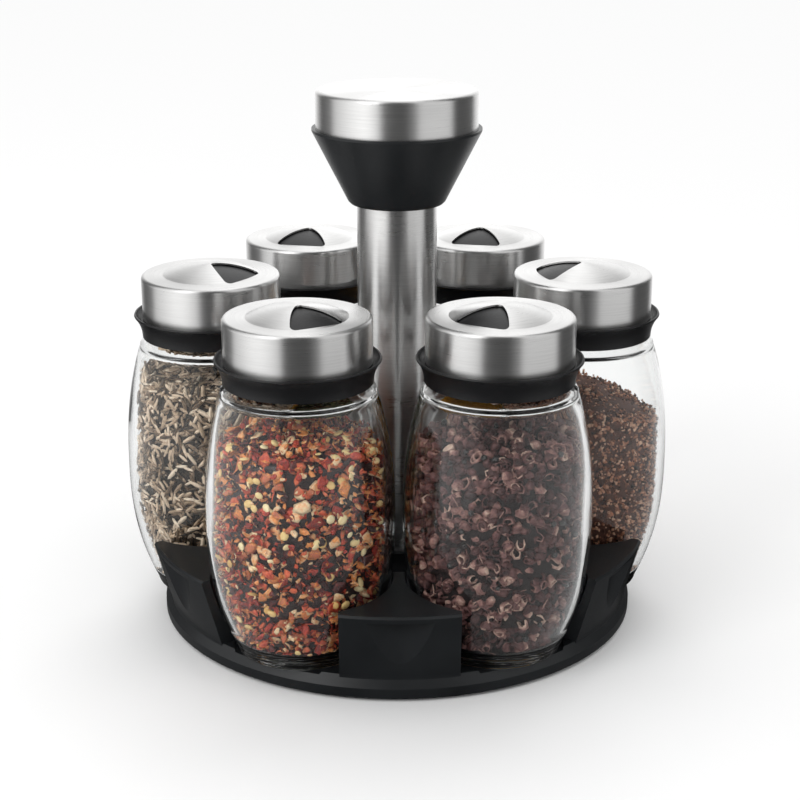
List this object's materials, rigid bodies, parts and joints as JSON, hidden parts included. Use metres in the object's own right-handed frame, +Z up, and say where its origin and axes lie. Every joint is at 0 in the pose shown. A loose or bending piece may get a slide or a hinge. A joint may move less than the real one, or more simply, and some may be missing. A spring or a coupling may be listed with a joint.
{
  "type": "spice carousel",
  "caption": "Revolving spice carousel: barrel glass jars with dial lids stand between wedge prongs on a round tray with a steel column and a tapered carrying knob.",
  "frame": {"origin": "on the carousel's axis at the table, under the rubber feet", "axes": "+Z up along the turning axis; -Y is the front; jar 1 stands on +X and the numbers run anticlockwise from above"},
  "size_m": [0.1854, 0.172, 0.1792],
  "materials": {
    "tray_plastic": "fine satin moulded grain",
    "lid_plastic": "matte, very fine grain",
    "pad_rubber": "soft matte",
    "seal_rubber": "smooth silicone",
    "cage_plastic": "natural nylon",
    "bright_steel": "zinc-bright",
    "brushed_steel": "turned round the axis, fine brushing",
    "clear_glass": "clear polished pressed glass",
    "spice_1": "coarse ground brown pepper",
    "spice_2": "ground turmeric-coloured curry",
    "spice_3": "dried green herbs",
    "spice_4": "slender grey-green seeds",
    "spice_5": "crushed red chilli flakes with seeds",
    "spice_6": "dark red-brown split husks"
  },
  "bodies": {
    "foot": {"foot_disc": "tray_plastic", "foot_pads": "pad_rubber"},
    "ball_race": {"ball_cage": "cage_plastic", "bearing_balls": "bright_steel"},
    "carousel": {"tray": "tray_plastic", "column_boss": "tray_plastic", "column_tube": "brushed_steel", "tie_rod": "bright_steel", "lower_washer": "bright_steel", "pivot_bush": "bright_steel", "knob_cone": "tray_plastic", "upper_washer": "bright_steel", "rod_nut": "bright_steel", "knob_cap": "brushed_steel"},
    "jar_1": {"jar_glass_1": "clear_glass", "jar_spice_1": "spice_1"},
    "lid_1": {"lid_insert_1": "lid_plastic", "lid_seal_1": "seal_rubber"},
    "dial_1": {"dial_cap_1": "brushed_steel", "dial_ring_1": "lid_plastic"},
    "jar_2": {"jar_glass_2": "clear_glass", "jar_spice_2": "spice_2"},
    "lid_2": {"lid_insert_2": "lid_plastic", "lid_seal_2": "seal_rubber"},
    "dial_2": {"dial_cap_2": "brushed_steel", "dial_ring_2": "lid_plastic"},
    "jar_3": {"jar_glass_3": "clear_glass", "jar_spice_3": "spice_3"},
    "lid_3": {"lid_insert_3": "lid_plastic", "lid_seal_3": "seal_rubber"},
    "dial_3": {"dial_cap_3": "brushed_steel", "dial_ring_3": "lid_plastic"},
    "jar_4": {"jar_glass_4": "clear_glass", "jar_spice_4": "spice_4"},
    "lid_4": {"lid_insert_4": "lid_plastic", "lid_seal_4": "seal_rubber"},
    "dial_4": {"dial_cap_4": "brushed_steel", "dial_ring_4": "lid_plastic"},
    "jar_5": {"jar_glass_5": "clear_glass", "jar_spice_5": "spice_5"},
    "lid_5": {"lid_insert_5": "lid_plastic", "lid_seal_5": "seal_rubber"},
    "dial_5": {"dial_cap_5": "brushed_steel", "dial_ring_5": "lid_plastic"},
    "jar_6": {"jar_glass_6": "clear_glass", "jar_spice_6": "spice_6"},
    "lid_6": {"lid_insert_6": "lid_plastic", "lid_seal_6": "seal_rubber"},
    "dial_6": {"dial_cap_6": "brushed_steel", "dial_ring_6": "lid_plastic"}
  },
  "joints": [
    {"name": "carousel_turn", "type": "hinge", "parent": "foot", "child": "carousel", "pos_m": [0, 0, 0.0042], "axis": [0, 0, 1], "continuous": true},
    {"name": "race_turn", "type": "hinge", "parent": "foot", "child": "ball_race", "pos_m": [0, 0, 0.0042], "axis": [0, 0, 1], "continuous": true},
    {"name": "jar_lift_1", "type": "slide", "parent": "carousel", "child": "jar_1", "axis": [0, 0, 1], "range_m": [0, 0.08]},
    {"name": "lid_lift_1", "type": "slide", "parent": "jar_1", "child": "lid_1", "axis": [0, 0, 1], "range_m": [0, 0.045]},
    {"name": "dial_turn_1", "type": "hinge", "parent": "lid_1", "child": "dial_1", "pos_m": [0.0625, 0, 0.11], "axis": [0, 0, 1], "range_deg": [0, 240]},
    {"name": "jar_lift_2", "type": "slide", "parent": "carousel", "child": "jar_2", "axis": [0, 0, 1], "range_m": [0, 0.08]},
    {"name": "lid_lift_2", "type": "slide", "parent": "jar_2", "child": "lid_2", "axis": [0, 0, 1], "range_m": [0, 0.045]},
    {"name": "dial_turn_2", "type": "hinge", "parent": "lid_2", "child": "dial_2", "pos_m": [0.03125, 0.05413, 0.11], "axis": [0, 0, 1], "range_deg": [0, 240]},
    {"name": "jar_lift_3", "type": "slide", "parent": "carousel", "child": "jar_3", "axis": [0, 0, 1], "range_m": [0, 0.08]},
    {"name": "lid_lift_3", "type": "slide", "parent": "jar_3", "child": "lid_3", "axis": [0, 0, 1], "range_m": [0, 0.045]},
    {"name": "dial_turn_3", "type": "hinge", "parent": "lid_3", "child": "dial_3", "pos_m": [-0.03125, 0.05413, 0.11], "axis": [0, 0, 1], "range_deg": [0, 240]},
    {"name": "jar_lift_4", "type": "slide", "parent": "carousel", "child": "jar_4", "axis": [0, 0, 1], "range_m": [0, 0.08]},
    {"name": "lid_lift_4", "type": "slide", "parent": "jar_4", "child": "lid_4", "axis": [0, 0, 1], "range_m": [0, 0.045]},
    {"name": "dial_turn_4", "type": "hinge", "parent": "lid_4", "child": "dial_4", "pos_m": [-0.0625, 0, 0.11], "axis": [0, 0, 1], "range_deg": [0, 240]},
    {"name": "jar_lift_5", "type": "slide", "parent": "carousel", "child": "jar_5", "axis": [0, 0, 1], "range_m": [0, 0.08]},
    {"name": "lid_lift_5", "type": "slide", "parent": "jar_5", "child": "lid_5", "axis": [0, 0, 1], "range_m": [0, 0.045]},
    {"name": "dial_turn_5", "type": "hinge", "parent": "lid_5", "child": "dial_5", "pos_m": [-0.03125, -0.05413, 0.11], "axis": [0, 0, 1], "range_deg": [0, 240]},
    {"name": "jar_lift_6", "type": "slide", "parent": "carousel", "child": "jar_6", "axis": [0, 0, 1], "range_m": [0, 0.08]},
    {"name": "lid_lift_6", "type": "slide", "parent": "jar_6", "child": "lid_6", "axis": [0, 0, 1], "range_m": [0, 0.045]},
    {"name": "dial_turn_6", "type": "hinge", "parent": "lid_6", "child": "dial_6", "pos_m": [0.03125, -0.05413, 0.11], "axis": [0, 0, 1], "range_deg": [0, 240]}
  ],
  "couplings": [
    {"joint": "race_turn", "follows": "carousel_turn", "ratio": 0.5}
  ]
}
